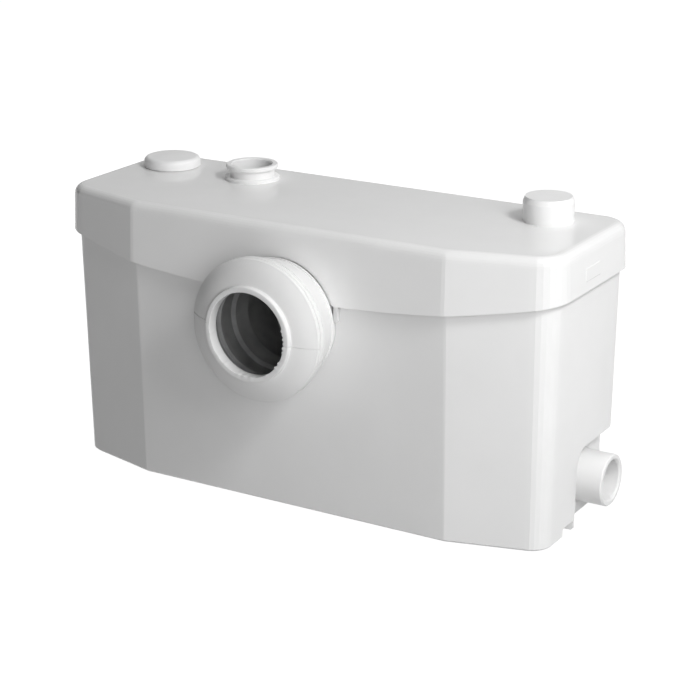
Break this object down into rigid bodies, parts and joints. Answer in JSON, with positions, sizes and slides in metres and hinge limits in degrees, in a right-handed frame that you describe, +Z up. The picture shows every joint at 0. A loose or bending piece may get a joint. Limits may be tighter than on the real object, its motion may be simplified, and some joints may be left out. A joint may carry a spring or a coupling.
{
  "type": "macerator toilet pump",
  "caption": "Low white macerator pump tank with a lift-off lid, a bulging toilet inlet sleeve in front, low side inlets, lid fittings, and a motor with knife and pump inside.",
  "frame": {"origin": "on the floor under the middle of the unit's bounding box", "axes": "+X along the front to the right seen from the toilet, +Y towards the wall behind, +Z up; the toilet inlet faces -Y"},
  "size_m": [0.518, 0.2374, 0.2852],
  "materials": {
    "shell_white": "satin moulded",
    "soft_white": "smooth elastomer",
    "cap_white": "satin moulded",
    "dark_rubber": "matte",
    "dark_plastic": "moulded",
    "grey_plastic": "moulded",
    "steel": "turned",
    "cast_metal": "die cast",
    "winding": "enamelled copper",
    "charcoal": "charcoal foam"
  },
  "bodies": {
    "unit": {"tank": "shell_white", "lid_seal": "dark_rubber", "inlet_collar": "shell_white", "wc_sleeve": "soft_white", "inlet_liner": "dark_plastic", "side_inlet_right": "shell_white", "side_inlet_left": "shell_white", "side_inlet_seals": "dark_rubber", "inlet_flap_pins": "steel", "motor_housing": "cast_metal", "motor_cover": "cast_metal", "motor_screws": "steel", "stator": "steel", "stator_windings": "winding", "upper_bearing": "steel", "lower_bearing": "steel", "upper_shaft_seal": "dark_rubber", "lower_shaft_seal": "dark_rubber", "motor_feet": "dark_rubber", "motor_lead": "dark_rubber", "grinder_basket": "dark_plastic", "basket_cover": "grey_plastic", "basket_screws": "steel", "pump_casing": "grey_plastic", "suction_plate": "grey_plastic", "pump_screws": "steel", "outlet_hose": "dark_rubber", "hose_clamps": "steel", "valve_elbow": "grey_plastic", "riser_pipe": "grey_plastic", "valve_screws": "steel", "discharge_flap_pin": "steel", "pressure_bell": "grey_plastic", "diaphragm": "dark_rubber", "switch_housing": "grey_plastic", "switch_cover": "grey_plastic", "bell_screws": "steel", "microswitch": "dark_plastic", "terminal_block": "dark_plastic", "capacitor": "cap_white", "cable_gland": "dark_rubber"},
    "rotor": {"shaft": "steel", "rotor_core": "steel", "impeller": "grey_plastic", "impeller_screw": "steel", "knife": "steel", "knife_nut": "steel"},
    "lid": {"lid": "shell_white", "top_sleeve": "soft_white", "vent_cap": "cap_white", "vent_filter": "charcoal"},
    "blanking_cap": {"blanking_cap": "cap_white"},
    "discharge_flap": {"discharge_flap": "dark_rubber"},
    "inlet_flap_right": {"inlet_flap_right": "dark_rubber"},
    "inlet_flap_left": {"inlet_flap_left": "dark_rubber"},
    "plunger": {"plunger": "cap_white"},
    "switch_lever": {"switch_lever": "steel"}
  },
  "joints": [
    {"name": "rotor_spin", "type": "hinge", "parent": "unit", "child": "rotor", "pos_m": [0, 0.0361, 0.08], "axis": [0, 0, 1], "continuous": true},
    {"name": "lid_lift", "type": "slide", "parent": "unit", "child": "lid", "axis": [0, 0, 1], "range_m": [0, 0.12]},
    {"name": "blanking_cap_pull", "type": "slide", "parent": "lid", "child": "blanking_cap", "axis": [0, 0, 1], "range_m": [0, 0.03]},
    {"name": "discharge_flap_swing", "type": "hinge", "parent": "unit", "child": "discharge_flap", "pos_m": [-0.1142, 0.0875, 0.0629], "axis": [-1, 0, 0], "range_deg": [0, 60]},
    {"name": "inlet_flap_right_swing", "type": "hinge", "parent": "unit", "child": "inlet_flap_right", "pos_m": [0.2189, 0.0718, 0.0575], "axis": [0, 1, 0], "range_deg": [0, 50]},
    {"name": "inlet_flap_left_swing", "type": "hinge", "parent": "unit", "child": "inlet_flap_left", "pos_m": [-0.2189, 0.0718, 0.0575], "axis": [0, -1, 0], "range_deg": [0, 50]},
    {"name": "plunger_lift", "type": "slide", "parent": "unit", "child": "plunger", "axis": [0, 0, 1], "range_m": [0, 0.0025], "stiffness_N_per_m": 300},
    {"name": "switch_lever_swing", "type": "hinge", "parent": "unit", "child": "switch_lever", "pos_m": [0.143, 0.0361, 0.1588], "axis": [0, 1, 0], "range_deg": [0, 8]}
  ],
  "couplings": [
    {"joint": "switch_lever_swing", "follows": "plunger_lift", "rad_per_m": 55.2}
  ]
}
